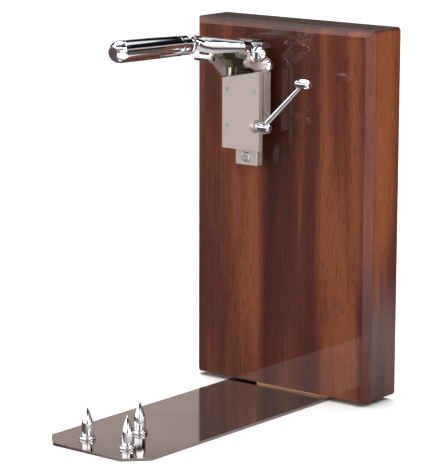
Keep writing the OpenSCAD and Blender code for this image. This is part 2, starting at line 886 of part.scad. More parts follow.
module sector_tooth(a) {
    root = pitch_r - dedendum - 0.5;
    tip = pitch_r + addendum;
    steps = 7;
    radii = [for (i = [0 : steps]) root + (tip - root) * i / steps];
    polygon(concat(
        [for (r = radii) polar(r, a - tooth_half(r))],
        [for (i = [steps : -1 : 0]) polar(radii[i], a + tooth_half(radii[i]))]
    ));
}

module sector_gear() {
    root = pitch_r - dedendum;
    low = -3.5 * tooth_angle;
    high = 1.5 * tooth_angle;
    color("darkgray") in_head() difference() {
        across(-gear_w / 2, gear_w) translate([-pivot_stand, pivot_level]) union() {
            circle(hub_r);
            polygon(concat([[0, 0]], [for (i = [0 : 20]) polar(root, low + (high - low) * i / 20)]));
            for (k = [-3 : 1]) sector_tooth(k * tooth_angle);
        }
        bar_x(-gear_w, 2 * gear_w, shaft_d + 2 * fit_gap, pivot_stand, pivot_level);
        key_slot();
    }
}

module shaft_sleeves() {
    l = rail_x - sleeve_gap - gear_w / 2;
    color("silver") in_head() for (x = [-gear_w / 2 - l, gear_w / 2]) difference() {
        bar_x(x, l, sleeve_d, pivot_stand, pivot_level);
        bar_x(x - 1, l + 2, shaft_d + 2 * fit_gap, pivot_stand, pivot_level);
    }
}

module pivot_washers() {
    color("gainsboro") in_head() for (x = [-cheek_out - washer_t, cheek_out]) difference() {
        bar_x(x, washer_t, washer_d, pivot_stand, pivot_level);
        bar_x(x - 1, washer_t + 2, stud_d + 2 * fit_gap, pivot_stand, pivot_level);
    }
}

// Acorn nut on the right end of the shaft
module pivot_nut() {
    arc = [for (a = [0 : 15 : 90]) [dome_r * cos(a), nut_h + dome_r * sin(a)]];
    color("gainsboro") in_head() difference() {
        translate([cheek_out + washer_t, -pivot_stand, pivot_level]) rotate([0, 90, 0]) union() {
            cylinder(d = nut_d, h = nut_h, $fn = 6);
            rotate_extrude() polygon(concat([[0, 0], [dome_r, 0]], arc));
        }
        bar_x(cheek_out, stud_l + fit_gap, stud_d + 2 * fit_gap, pivot_stand, pivot_level);
    }
}

// Long cap nut on the left end of the shaft
module pivot_cap() {
    r = pivot_cap_d / 2;
    l = pivot_cap_l;
    edge = 1.2;
    color("gainsboro") in_head() difference() {
        translate([-cheek_out - washer_t, -pivot_stand, pivot_level]) rotate([0, -90, 0]) rotate_extrude()
            polygon([[0, 0], [r, 0], [r, l - edge], [r - edge, l], [0, l]]);
        bar_x(-cheek_out - stud_l - fit_gap, stud_l + 2 * fit_gap, stud_d + 2 * fit_gap,
            pivot_stand, pivot_level);
    }
}

// ---- The lock lever ----

// Places children on the rod's axis, along +Z from the hub's axis
module on_lock_rod() {
    translate([lock_hub_x + lock_hub_l / 2, -lock_stand, lock_level])
        rotate([0, 90 - lock_lean, 0]) children();
}

// The rod's tapered stem, fatter by gap all round
module rod_stem(gap) {
    start = lock_socket + 3;
    translate([0, 0, start]) cylinder(
        d1 = lock_rod_root_d + 2 * gap, d2 = lock_rod_tip_d + 2 * gap, h = lock_rod_end - start + gap);
}

module lock_hub() {
    color("gainsboro") in_head() difference() {
        translate([lock_hub_x + lock_hub_l / 2, -lock_stand, lock_level]) barrel(lock_hub_d, lock_hub_l);
        bar_x(lock_hub_x - 1, lock_pin_in + 1.2, lock_pin_d + 2 * shaft_gap, lock_stand, lock_level);
        on_lock_rod() translate([0, 0, lock_socket]) cylinder(d = lock_rod_d + 2 * fit_gap, h = lock_hub_d);
        on_lock_rod() rod_stem(fit_gap);
    }
}

module lock_rod() {
    color("gainsboro") in_head() on_lock_rod() union() {
        translate([0, 0, lock_socket + fit_gap]) cylinder(d = lock_rod_d, h = 4);
        rod_stem(0);
        translate([0, 0, lock_rod_l - 7]) cylinder(d = lock_tip_d, h = 6);
    }
}

module lock_knob() {
    color("gainsboro") in_head() difference() {
        on_lock_rod() translate([0, 0, lock_rod_l]) rotate([0, lock_lean - 90, 0])
            barrel(lock_knob_d, lock_knob_l);
        on_lock_rod() cylinder(d = lock_tip_d + 2 * fit_gap, h = lock_rod_l - 1 + fit_gap);
        on_lock_rod() rod_stem(fit_gap);
    }
}

// ---- What is drawn ----

backboard();
base_plate();
packing_strip();
plate_screws();
spike_left();
spike_right();
spike_rear();
spike_screws();
mounting_block();
back_plate();
mounting_screws();
side_plate_left();
side_plate_right();
guide_rail_left();
guide_rail_right();
side_screws();
dome_screws();
pivot_bushes();
stop_pin();
front_cover();
cover_standoffs();
cover_screws();
spring_post();
return_spring();
lock_pivot();
ram();
end_block();
end_block_screw();
yoke();
tang();
tang_rivet();
ferrule();
grip();
grip_cap();
pivot_shaft();
gear_key();
sector_gear();
shaft_sleeves();
pivot_washers();
pivot_nut();
pivot_cap();
lock_hub();
lock_rod();
lock_knob();
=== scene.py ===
import json
import math
import bmesh
import bpy
from mathutils import Matrix, Vector


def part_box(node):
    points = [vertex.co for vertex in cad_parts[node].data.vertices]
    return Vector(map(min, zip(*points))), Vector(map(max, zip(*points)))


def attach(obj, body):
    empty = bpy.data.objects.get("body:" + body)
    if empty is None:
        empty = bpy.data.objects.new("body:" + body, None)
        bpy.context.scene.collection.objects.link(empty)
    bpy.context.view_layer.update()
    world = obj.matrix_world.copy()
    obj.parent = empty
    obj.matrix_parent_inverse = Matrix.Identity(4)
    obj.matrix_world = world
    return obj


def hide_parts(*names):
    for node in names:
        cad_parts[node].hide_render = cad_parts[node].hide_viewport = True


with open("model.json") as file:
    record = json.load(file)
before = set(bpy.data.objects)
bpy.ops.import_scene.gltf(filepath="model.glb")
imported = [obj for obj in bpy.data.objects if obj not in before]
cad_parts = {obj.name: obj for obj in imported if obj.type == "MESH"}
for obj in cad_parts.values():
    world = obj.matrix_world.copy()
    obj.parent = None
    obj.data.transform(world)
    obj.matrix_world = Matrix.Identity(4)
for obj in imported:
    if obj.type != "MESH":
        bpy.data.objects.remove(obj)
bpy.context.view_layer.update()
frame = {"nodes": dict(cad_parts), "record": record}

mm = 0.001
sharpAngle, turnedAngle = math.radians(32), math.radians(30)
# the colour sockets of a Mix node, whose names repeat those of its number sockets
mixA, mixB, mixResult = 6, 7, 2
scene = bpy.context.scene
scene.view_settings.view_transform = "Standard"


def linearColour(code):
    # sRGB hex to the linear values that Blender's sockets take
    parts = [int(code[i:i + 2], 16) / 255 for i in (1, 3, 5)]
    return tuple(c / 12.92 if c <= 0.04045 else ((c + 0.055) / 1.055) ** 2.4 for c in parts) + (1.0,)


def addNode(tree, kind, links=None, stops=None, **settings):
    # links maps a socket's name or number to a value or to the output that feeds it
    node = tree.nodes.new(kind)
    for key, value in settings.items():
        setattr(node, key, value)
    for key, value in (links or {}).items():
        if isinstance(value, bpy.types.NodeSocket):
            tree.links.new(value, node.inputs[key])
        else:
            node.inputs[key].default_value = value
    for i, (place, shade) in enumerate(stops or []):
        slots = node.color_ramp.elements
        stop = slots[i] if i < 2 else slots.new(place)
        stop.position, stop.color = place, shade
    return node


def newFinish(name):
    # an empty material with its shader, as (material, tree, shader, object coordinates)
    material = bpy.data.materials.new(name)
    material.use_nodes = True
    tree = material.node_tree
    tree.nodes.clear()
    shader = addNode(tree, "ShaderNodeBsdfPrincipled")
    addNode(tree, "ShaderNodeOutputMaterial", {"Surface": shader.outputs[0]})
    place = addNode(tree, "ShaderNodeTexCoord").outputs["Object"]
    return material, tree, shader, place


def bumpFrom(tree, shader, height, strength, distance):
    bump = addNode(tree, "ShaderNodeBump", {"Strength": strength, "Distance": distance, "Height": height})
    tree.links.new(bump.outputs[0], shader.inputs["Normal"])


def addPiece(name, mesh, material, body, stands=()):
    piece = bpy.data.objects.new(name, mesh)
    scene.collection.objects.link(piece)
    mesh.materials.clear()
    mesh.materials.append(material)
    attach(piece, body)
    if stands:
        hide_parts(*stands)
    return piece


# angles in degrees, lens and sensor in mm, the rest in metres from the board's foot
cameraFit = {
    "azimuth": 38.843, "elevation": 11.345, "roll": 0.176, "distance": 2.69087,
    "across": -0.06233, "up": 0.164607, "lens": 186.4, "sensor": 36, "farthest": 100,
}


def placeCamera(fit):
    a, e, r = (math.radians(fit[key]) for key in ("azimuth", "elevation", "roll"))
    back = Vector((math.sin(a) * math.cos(e), -math.cos(a) * math.cos(e), math.sin(e)))
    right = Vector((math.cos(a), math.sin(a), 0))
    up = back.cross(right)
    rolledRight = right * math.cos(r) + up * math.sin(r)
    rolledUp = up * math.cos(r) - right * math.sin(r)
    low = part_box("backboard")[0]
    boardFoot = Vector((0, low[1], low[2]))
    spot = boardFoot + rolledRight * fit["across"] + rolledUp * fit["up"] + back * fit["distance"]
    data = bpy.data.cameras.new("camera")
    data.lens, data.sensor_width, data.clip_end = fit["lens"], fit["sensor"], fit["farthest"]
    camera = bpy.data.objects.new("camera", data)
    turn = Matrix((rolledRight, rolledUp, back)).transposed().to_4x4()
    camera.matrix_world = Matrix.Translation(spot) @ turn
    scene.collection.objects.link(camera)
    scene.camera = camera


# lamp powers in watts, spreads in degrees, places in metres; edges are where one look fades to the next;
# behind, beside and before are the room's walls, each as (height, shade) from below upwards
studio = {
    "sunPower": 3.1, "sunSpread": 50, "sunFrom": (-0.35, 0.25, 1.0),
    "sideLampPower": 5.0, "sideLampSize": 0.45, "sideLampFrom": (0.72, 0.16, 0.78),
    "sideLampAim": (0.1, 0.15, 0.25),
    "frontPower": 2.1, "white": "#FFFFFF", "floor": "#F4F3F2", "dimFloor": "#5C5350",
    "floorReach": 12, "floorRoughness": 0.9, "dimLeftEdge": (0.35, -0.05), "dimBackEdge": (0.4, 0.7),
    # dark, a dim mauve band, a dark gap, a white band of softboxes, a dark ceiling
    "behind": [(0.15, "#2E2523"), (0.19, "#CFC1BC"), (0.28, "#C4B6B2"), (0.32, "#0B0B10"),
               (0.60, "#14141B"), (0.622, "#FFFFFF"), (0.74, "#FFFFFF"), (0.84, "#2A2A36")],
    # a pale pink band on the horizon under a dark blue wall
    "beside": [(0.0, "#F2E4DF"), (0.20, "#FFFFFF"), (0.27, "#10131E"), (0.80, "#1A2033"),
               (0.92, "#4A5064")],
    # softboxes above the horizon, a dark gap, more softboxes, then the dark ceiling
    "before": [(0.0, "#55504E"), (0.05, "#FFFFFF"), (0.34, "#FFFFFF"), (0.40, "#16161C"),
               (0.58, "#16161C"), (0.64, "#FFFFFF"), (0.80, "#FFFFFF"), (0.88, "#3C3C4A")],
    "sideEdge": (0.60, 0.48), "frontEdge": (0.0, -0.16),
    "opening": "#101014", "openingAim": (0.62, -0.78, 0.0), "openingEdge": (0.90, 0.96),
    "openingDepth": 0.94,
}


def placeWorld(setup):
    world = bpy.data.worlds.new("softStudio")
    scene.world = world
    world.use_nodes = True
    tree = world.node_tree
    tree.nodes.clear()
    facing = addNode(tree, "ShaderNodeTexCoord").outputs["Generated"]
    parts = addNode(tree, "ShaderNodeSeparateXYZ", {0: facing})
    walls = {}
    for side in ("behind", "beside", "before"):
        stops = [(height, linearColour(code)) for height, code in setup[side]]
        walls[side] = addNode(tree, "ShaderNodeValToRGB", {0: parts.outputs["Z"]}, stops=stops).outputs[0]
    sideways = addNode(tree, "ShaderNodeMapRange", {
        "Value": parts.outputs["Y"], "From Min": setup["sideEdge"][0],
        "From Max": setup["sideEdge"][1]}).outputs[0]
    forward = addNode(tree, "ShaderNodeMapRange", {
        "Value": parts.outputs["Y"], "From Min": setup["frontEdge"][0],
        "From Max": setup["frontEdge"][1]}).outputs[0]
    around = addNode(tree, "ShaderNodeMix", {
        0: sideways, mixA: walls["behind"], mixB: walls["beside"]}, data_type="RGBA").outputs[mixResult]
    around = addNode(tree, "ShaderNodeMix", {
        0: forward, mixA: around, mixB: walls["before"]}, data_type="RGBA").outputs[mixResult]
    # a dark opening between the softboxes, straight behind the viewer
    toViewer = addNode(tree, "ShaderNodeVectorMath", {0: facing, 1: setup["openingAim"]},
                       operation="DOT_PRODUCT").outputs["Value"]
    opening = addNode(tree, "ShaderNodeMapRange", {
        "Value": toViewer, "From Min": setup["openingEdge"][0], "From Max": setup["openingEdge"][1],
        "To Min": 0.0, "To Max": setup["openingDepth"]}).outputs[0]
    bands = addNode(tree, "ShaderNodeMix", {
        0: opening, mixA: around, mixB: linearColour(setup["opening"])},
        data_type="RGBA").outputs[mixResult]
    seen = addNode(tree, "ShaderNodeBackground", {"Color": linearColour(setup["white"]), "Strength": 1.0})
    power = addNode(tree, "ShaderNodeMapRange", {
        "Value": forward, "To Min": 1.0, "To Max": setup["frontPower"]}).outputs[0]
    lit = addNode(tree, "ShaderNodeBackground", {"Color": bands, "Strength": power})
    path = addNode(tree, "ShaderNodeLightPath")
    both = addNode(tree, "ShaderNodeMixShader", {0: path.outputs["Is Camera Ray"], 1: lit.outputs[0],
                                                 2: seen.outputs[0]})
    addNode(tree, "ShaderNodeOutputWorld", {"Surface": both.outputs[0]})


def placeLamps(setup):
    sun = bpy.data.lights.new("softSun", "SUN")
    sun.energy, sun.angle = setup["sunPower"], math.radians(setup["sunSpread"])
    lamp = bpy.data.objects.new("softSun", sun)
    lamp.rotation_euler = Vector(setup["sunFrom"]).to_track_quat("Z", "Y").to_euler()
    scene.collection.objects.link(lamp)

    panel = bpy.data.lights.new("sideSoftbox", "AREA")
    panel.energy, panel.size = setup["sideLampPower"], setup["sideLampSize"]
    softbox = bpy.data.objects.new("sideSoftbox", panel)
    softbox.location = setup["sideLampFrom"]
    away = Vector(setup["sideLampFrom"]) - Vector(setup["sideLampAim"])
    softbox.rotation_euler = away.to_track_quat("Z", "Y").to_euler()
    scene.collection.objects.link(softbox)


def placeFloor(setup):
    # matt paper sweep without any gloss, which stays dim in mirrors left of the object
    material, tree, shader, place = newFinish("paleMattFloor")
    shader.inputs["Base Color"].default_value = linearColour(setup["floor"])
    shader.inputs["Roughness"].default_value = setup["floorRoughness"]
    shader.inputs["Specular IOR Level"].default_value = 0.0
    spot = addNode(tree, "ShaderNodeSeparateXYZ", {0: place})
    leftwards = addNode(tree, "ShaderNodeMapRange", {
        "Value": spot.outputs["X"], "From Min": setup["dimLeftEdge"][0],
        "From Max": setup["dimLeftEdge"][1]}).outputs[0]
    backwards = addNode(tree, "ShaderNodeMapRange", {
        "Value": spot.outputs["Y"], "From Min": setup["dimBackEdge"][0],
        "From Max": setup["dimBackEdge"][1]}).outputs[0]
    away = addNode(tree, "ShaderNodeMath", {0: leftwards, 1: backwards}, operation="MAXIMUM").outputs[0]
    glossy = addNode(tree, "ShaderNodeLightPath").outputs["Is Glossy Ray"]
    mirrored = addNode(tree, "ShaderNodeMath", {0: away, 1: glossy}, operation="MULTIPLY").outputs[0]
    dim = addNode(tree, "ShaderNodeEmission", {"Color": linearColour(setup["dimFloor"]), "Strength": 1.0})
    both = addNode(tree, "ShaderNodeMixShader", {0: mirrored, 1: shader.outputs[0], 2: dim.outputs[0]})
    output = next(node for node in tree.nodes if node.bl_idname == "ShaderNodeOutputMaterial")
    tree.links.new(both.outputs[0], output.inputs["Surface"])
    reach = setup["floorReach"]
    corners = [(-reach, -reach, 0), (reach, -reach, 0), (reach, reach, 0), (-reach, reach, 0)]
    mesh = bpy.data.meshes.new("floor")
    mesh.from_pydata(corners, [], [(0, 1, 2, 3)])
    mesh.materials.append(material)
    floor = bpy.data.objects.new("floor", mesh)
    scene.collection.objects.link(floor)


placeCamera(cameraFit)
placeWorld(studio)
placeLamps(studio)
placeFloor(studio)
print("camera and studio placed")


mahogany = {
    # the end-grain colour is the top face's own end grain plus painted shade, darker than the sun from
    # above leaves it
    "dark": "#34100A", "middle": "#532213", "light": "#783F1D", "pore": "#1E0905", "endGrain": "#240C07",
    "darkAt": 0.34, "middleAt": 0.49, "lightAt": 0.64, "figureShare": 0.8, "grainShare": 0.2,
    "figureWidth": 46 * mm, "grainWidth": 3.2 * mm, "poreWidth": 0.8 * mm,
    "figureStretch": (1, 1, 0.10), "grainStretch": (1, 1, 0.04), "poreStretch": (1, 1, 0.06),
    "poreEdge": (0.40, 0.33), "poreDepth": 0.55, "endGrainEdge": (4 * mm, 1 * mm), "endGrainDepth": 0.85,
    "roughness": 0.5, "gloss": 0.2, "lacquer": 0.5, "lacquerRoughness": 0.04,
    "rippleWidth": 9 * mm, "grainRelief": 0.25, "strokeWidth": 4.5 * mm, "strokeSlant": 32,
    "strokeStretch": (1, 0.4, 0.3), "bevelEdge": (8.2 * mm, 7.6 * mm), "strokeRelief": 50.0,
    "reliefStrength": 0.2, "reliefDepth": 0.12 * mm,
}


def lacqueredMahogany(look):
    # ribbon-cut mahogany under thick gloss lacquer: soft upright bands, fine pores, and a dark top face
    # that is end grain darkened further with painted shade
    material, tree, shader, place = newFinish("lacqueredMahogany")
    figure = addNode(tree, "ShaderNodeMapping", {0: place, "Scale": look["figureStretch"]}).outputs[0]
    wide = addNode(tree, "ShaderNodeTexNoise", {0: figure, "Scale": 1 / look["figureWidth"], "Detail": 2.0,
                                                "Roughness": 0.45, "Distortion": 0.6}).outputs[0]
    fine = addNode(tree, "ShaderNodeMapping", {0: place, "Scale": look["grainStretch"]}).outputs[0]
    grain = addNode(tree, "ShaderNodeTexNoise", {0: fine, "Scale": 1 / look["grainWidth"], "Detail": 4.0,
                                                 "Roughness": 0.6}).outputs[0]
    dashes = addNode(tree, "ShaderNodeMapping", {0: place, "Scale": look["poreStretch"]}).outputs[0]
    pores = addNode(tree, "ShaderNodeTexNoise", {0: dashes, "Scale": 1 / look["poreWidth"],
                                                 "Detail": 1.0}).outputs[0]
    mixed = addNode(tree, "ShaderNodeMath", {0: wide, 1: look["figureShare"]},
                    operation="MULTIPLY").outputs[0]
    mixed = addNode(tree, "ShaderNodeMath", {0: grain, 1: look["grainShare"], 2: mixed},
                    operation="MULTIPLY_ADD").outputs[0]
    wood = addNode(tree, "ShaderNodeValToRGB", {0: mixed}, stops=[
        (look["darkAt"], linearColour(look["dark"])), (look["lightAt"], linearColour(look["light"])),
        (look["middleAt"], linearColour(look["middle"]))])
    holes = addNode(tree, "ShaderNodeMapRange", {
        "Value": pores, "From Min": look["poreEdge"][0], "From Max": look["poreEdge"][1],
        "To Min": 0.0, "To Max": look["poreDepth"]}).outputs[0]
    flat = addNode(tree, "ShaderNodeMix", {
        0: holes, mixA: wood.outputs[0], mixB: linearColour(look["pore"])},
        data_type="RGBA").outputs[mixResult]
    upwards = addNode(tree, "ShaderNodeSeparateXYZ", {0: place}).outputs["Z"]
    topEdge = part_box("backboard")[1][2]
    # darkens the top face and the top of its bevel: real end grain, with painted shade laid over it against
    # the sun from above
    below, above = (topEdge - depth for depth in look["endGrainEdge"])
    endGrainAndTopShadeMask = addNode(tree, "ShaderNodeMapRange", {
        "Value": upwards, "From Min": below, "From Max": above,
        "To Min": 0.0, "To Max": look["endGrainDepth"]}).outputs[0]
    final = addNode(tree, "ShaderNodeMix", {
        0: endGrainAndTopShadeMask, mixA: flat, mixB: linearColour(look["endGrain"])},
        data_type="RGBA").outputs[mixResult]
    tree.links.new(final, shader.inputs["Base Color"])
    shader.inputs["Roughness"].default_value = look["roughness"]
    shader.inputs["Specular IOR Level"].default_value = look["gloss"]
    shader.inputs["Coat Weight"].default_value = look["lacquer"]
    shader.inputs["Coat Roughness"].default_value = look["lacquerRoughness"]
    ripples = addNode(tree, "ShaderNodeTexNoise", {0: place, "Scale": 1 / look["rippleWidth"],
                                                   "Detail": 1.0}).outputs[0]
    relief = addNode(tree, "ShaderNodeMath", {0: grain, 1: look["grainRelief"], 2: ripples},
                     operation="MULTIPLY_ADD").outputs[0]
    # brush marks across the top bevel, where the lacquer was laid on by hand
    slant = addNode(tree, "ShaderNodeMapping", {
        0: place, "Rotation": (0, math.radians(look["strokeSlant"]), 0),
        "Scale": look["strokeStretch"]}).outputs[0]
    strokes = addNode(tree, "ShaderNodeTexNoise", {0: slant, "Scale": 1 / look["strokeWidth"],
                                                   "Detail": 1.0}).outputs[0]
    below, above = (topEdge - depth for depth in look["bevelEdge"])
    onBevel = addNode(tree, "ShaderNodeMapRange", {
        "Value": upwards, "From Min": below, "From Max": above,
        "To Min": 0.0, "To Max": look["strokeRelief"]}).outputs[0]
    relief = addNode(tree, "ShaderNodeMath", {0: strokes, 1: onBevel, 2: relief},
                     operation="MULTIPLY_ADD").outputs[0]
    bumpFrom(tree, shader, relief, look["reliefStrength"], look["reliefDepth"])
    return material


def metalFinish(name, shade, dullShade, roughness, spread, clouds, brush=None):
    # a metal whose roughness drifts between roughness and roughness + spread over clouds metres;
    # brush is (line width, stretch along X, Y, Z, depth of the lines)
    material, tree, shader, place = newFinish(name)
    shader.inputs["Metallic"].default_value = 1.0
    patches = addNode(tree, "ShaderNodeTexNoise", {0: place, "Scale": 1 / clouds, "Detail": 3.0}).outputs[0]
    tone = addNode(tree, "ShaderNodeMix", {
        0: patches, mixA: linearColour(shade), mixB: linearColour(dullShade)},
        data_type="RGBA").outputs[mixResult]
    tree.links.new(tone, shader.inputs["Base Color"])
    rough = addNode(tree, "ShaderNodeMapRange", {
        "Value": patches, "From Min": 0.3, "From Max": 0.7,
        "To Min": roughness, "To Max": roughness + spread}).outputs[0]
    tree.links.new(rough, shader.inputs["Roughness"])
    if brush:
        width, stretch, depth = brush
        lines = addNode(tree, "ShaderNodeMapping", {0: place, "Scale": stretch}).outputs[0]
        scratch = addNode(tree, "ShaderNodeTexNoise", {
            0: lines, "Scale": 1 / width, "Detail": 2.0}).outputs[0]
        bumpFrom(tree, shader, scratch, 0.5, depth)
    else:
        bumpFrom(tree, shader, patches, 0.15, 0.05 * mm)
    return material


def brightChrome(name):
    # mirror chrome plate: nearly white, a breath of blue, almost no blur
    return metalFinish(name, "#F2F3F6", "#E6E8EE", 0.03, 0.04, 14 * mm)


def polishedSteelPlate():
    # buffed steel sheet: a clear mirror that dims what it shows, with long faint polishing lines
    return metalFinish("buffedSteelSheet", "#BFB5B2", "#B2A8A5", 0.05, 0.05, 60 * mm,
                       (0.8 * mm, (1, 0.03, 1), 0.004 * mm))


def satinNickel():
    # brushed nickel plate: upright brush lines blur it to a soft warm grey
    return metalFinish("brushedNickelPlate", "#F2E6E0", "#E2D5CF", 0.46, 0.10, 20 * mm,
                       (0.5 * mm, (1, 1, 0.03), 0.03 * mm))


def filmedBrass():
    # machined brass with a dull film
    return metalFinish("filmedBrass", "#9A8A66", "#75684A", 0.3, 0.15, 8 * mm)


def oiledToolSteel():
    # machined tool steel under a film of oil: olive grey, with clear but broken reflections
    return metalFinish("oiledToolSteel", "#8F8A7D", "#6E695E", 0.16, 0.18, 7 * mm,
                       (0.7 * mm, (1, 0.05, 1), 0.02 * mm))


def zincPlate():
    # bright zinc on small screws: grey and slightly cloudy
    return metalFinish("zincPlatedSteel", "#E8E6E4", "#D2D0CE", 0.34, 0.12, 5 * mm)


def planedHardwood():
    # a planed strip of pale hardwood
    material, tree, shader, place = newFinish("planedHardwood")
    along = addNode(tree, "ShaderNodeMapping", {0: place, "Scale": (0.05, 1, 1)}).outputs[0]
    grain = addNode(tree, "ShaderNodeTexNoise", {
        0: along, "Scale": 1 / (1.5 * mm), "Detail": 4.0}).outputs[0]
    wood = addNode(tree, "ShaderNodeValToRGB", {0: grain}, stops=[
        (0.35, linearColour("#7A5233")), (0.65, linearColour("#B78A5E"))])
    tree.links.new(wood.outputs[0], shader.inputs["Base Color"])
    shader.inputs["Roughness"].default_value = 0.55
    bumpFrom(tree, shader, grain, 0.3, 0.1 * mm)
    return material


finishes = {
    "lacquered_wood": lacqueredMahogany(mahogany), "raw_wood": planedHardwood(),
    "polished_steel": polishedSteelPlate(), "chrome": brightChrome("brightChromePlate"),
    "satin_nickel": satinNickel(),
    "rail_brass": filmedBrass(), "dark_steel": oiledToolSteel(), "bright_screw": zincPlate(),
    "grip_chrome": brightChrome("turnedChromeGrip"),
}
slotOf = {part["node"]: part["material_slot"] for part in frame["record"]["subparts"]}
bodyOf = {node: body for body, nodes in frame["record"]["behaviour"]["bodies"].items() for node in nodes}
for node, part in frame["nodes"].items():
    part.data.materials.clear()
    part.data.materials.append(finishes[slotOf[node]])
print("finishes made")


# what each CAD copy's sharp edges are rounded to, in mm
edgeRadius = {
    "backboard": 1.2, "base_plate": 0.5, "packing_strip": 0.2, "mounting_block": 0.4, "back_plate": 0.3,
    "side_plate_left": 0.4, "side_plate_right": 0.4, "guide_rail_left": 0.3, "guide_rail_right": 0.3,
    "front_cover": 0.5, "end_block": 0.6, "ram": 0.25, "sector_gear": 0.2, "plate_screws": 0.1,
    "mounting_screws": 0.1, "side_screws": 0.1, "dome_screws": 0.15, "pivot_bushes": 0.1, "stop_pin": 0.5,
    "cover_standoffs": 0.1, "cover_screws": 0.1, "spring_post": 0.2, "lock_pivot": 0.3,
    "end_block_screw": 0.3, "tang": 0.2, "tang_rivet": 0.3, "pivot_shaft": 0.2, "gear_key": 0.1,
    "shaft_sleeves": 0.15, "pivot_washers": 0.2, "pivot_nut": 0.3, "spike_screws": 0.1,
}


def plainName(node):
    return "".join(word.capitalize() if i else word for i, word in enumerate(node.split("_")))


def softened(node, radius):
    # a copy of the CAD shape with every sharp edge rounded over
    mesh = frame["nodes"][node].data.copy()
    shape = bmesh.new()
    shape.from_mesh(mesh)
    bmesh.ops.remove_doubles(shape, verts=shape.verts, dist=0.002 * mm)
    bmesh.ops.dissolve_limit(shape, angle_limit=math.radians(0.5), verts=shape.verts, edges=shape.edges)
    shape.to_mesh(mesh)
    shape.free()
    for polygon in mesh.polygons:
        polygon.use_smooth = True
    mesh.set_sharp_from_angle(angle=sharpAngle)
    piece = addPiece(plainName(node), mesh, finishes[slotOf[node]], bodyOf[node], (node,))
    bevel = piece.modifiers.new("roundedEdges", "BEVEL")
    bevel.width, bevel.segments, bevel.limit_method = radius * mm, 3, "ANGLE"
    bevel.angle_limit = sharpAngle
    even = piece.modifiers.new("evenShading", "WEIGHTED_NORMAL")
    even.keep_sharp = True
    return piece


for node, radius in edgeRadius.items():
    softened(node, radius)
print("edges rounded")


def newGraph(name, inputs):
    # an empty Geometry Nodes group with named inputs, as (group, group input node)
    group = bpy.data.node_groups.new(name, "GeometryNodeTree")
    group.interface.new_socket("Geometry", in_out="INPUT", socket_type="NodeSocketGeometry")
    for label, kind in inputs.items():
        group.interface.new_socket(label, in_out="INPUT", socket_type=kind)
    group.interface.new_socket("Geometry", in_out="OUTPUT", socket_type="NodeSocketGeometry")
    return group, addNode(group, "NodeGroupInput")


def endGraph(group, entry, shape):
    # realizes what was built, gives it its material and sends it out
    solid = addNode(group, "GeometryNodeRealizeInstances", {0: shape}).outputs[0]
    smooth = addNode(group, "GeometryNodeSetShadeSmooth", {0: solid}).outputs[0]
    painted = addNode(group, "GeometryNodeSetMaterial", {0: smooth, "Material": entry.outputs["Material"]})
    addNode(group, "NodeGroupOutput", {0: painted.outputs[0]})


def grownMesh(name, group, base, values):
    # runs a Geometry Nodes group once on the base mesh and keeps the plain mesh it makes
    carrier = bpy.data.objects.new(name, base)
    scene.collection.objects.link(carrier)
    modifier = carrier.modifiers.new(name, "NODES")
    modifier.node_group = group
    for item in group.interface.items_tree:
        if item.in_out == "INPUT" and item.name in values:
            modifier[item.identifier] = values[item.name]
    carrier.update_tag()
    view = bpy.context.evaluated_depsgraph_get()
    mesh = bpy.data.meshes.new_from_object(carrier.evaluated_get(view))
    mesh.name = name
    carrier.modifiers.remove(modifier)
    bpy.data.objects.remove(carrier)
    shape = bmesh.new()
    shape.from_mesh(mesh)
    bmesh.ops.recalc_face_normals(shape, faces=shape.faces)
    shape.to_mesh(mesh)
    shape.free()
    mesh.set_sharp_from_angle(angle=turnedAngle)
    return mesh


def turnedGraph():
    # turns a profile, given as points along the axis with a radius each, and stands copies of it
    group, entry = newGraph("turnedPiece", {
        "Segments": "NodeSocketInt", "Rotation": "NodeSocketRotation", "First": "NodeSocketVector",
        "Second": "NodeSocketVector", "Third": "NodeSocketVector", "Material": "NodeSocketMaterial"})
    line = addNode(group, "GeometryNodeMeshToCurve", {0: entry.outputs["Geometry"]}).outputs[0]
    radius = addNode(group, "GeometryNodeInputNamedAttribute", {"Name": "turnedRadius"},
                     data_type="FLOAT").outputs[0]
    ring = addNode(group, "GeometryNodeCurvePrimitiveCircle", {
        "Resolution": entry.outputs["Segments"], "Radius": 1.0}).outputs[0]
    turned = addNode(group, "GeometryNodeCurveToMesh", {
        "Curve": line, "Profile Curve": ring, "Scale": radius, "Fill Caps": True}).outputs[0]
    places = addNode(group, "GeometryNodeJoinGeometry")
    for label in ("Third", "Second", "First"):
        spot = addNode(group, "GeometryNodePoints", {
            "Count": 1, "Position": entry.outputs[label]}).outputs[0]
        group.links.new(spot, places.inputs[0])
    joined = addNode(group, "GeometryNodeMergeByDistance", {0: places.outputs[0], "Distance": 0.1 * mm})
    copies = addNode(group, "GeometryNodeInstanceOnPoints", {
        "Points": joined.outputs[0], "Instance": turned, "Rotation": entry.outputs["Rotation"]}).outputs[0]
    endGraph(group, entry, copies)
    return group


turning = turnedGraph()


def turnedMesh(name, profile, spots, turn, slot, segments=96):
    # profile is [(along, radius)] in mm, spots one or three places, turn the Euler angles of its axis
    base = bpy.data.meshes.new(name + "Profile")
    base.from_pydata([(0, 0, along * mm) for along, radius in profile],
                     [(i, i + 1) for i in range(len(profile) - 1)], [])
    radii = base.attributes.new("turnedRadius", "FLOAT", "POINT")
    radii.data.foreach_set("value", [max(radius, 0.01) * mm for along, radius in profile])
    places = [tuple(spot) for spot in spots] * (3 // len(spots))
    return grownMesh(name, turning, base, {
        "Segments": segments, "Rotation": turn, "First": places[0], "Second": places[1],
        "Third": places[2], "Material": finishes[slot]})


def spread(points, step=0.02):
    # keeps points of a profile that share a place on the axis a hair apart
    out = []
    for along, radius in points:
        if out and along - out[-1][0] < step:
            along = out[-1][0] + step
        out.append((along, radius))
    return out


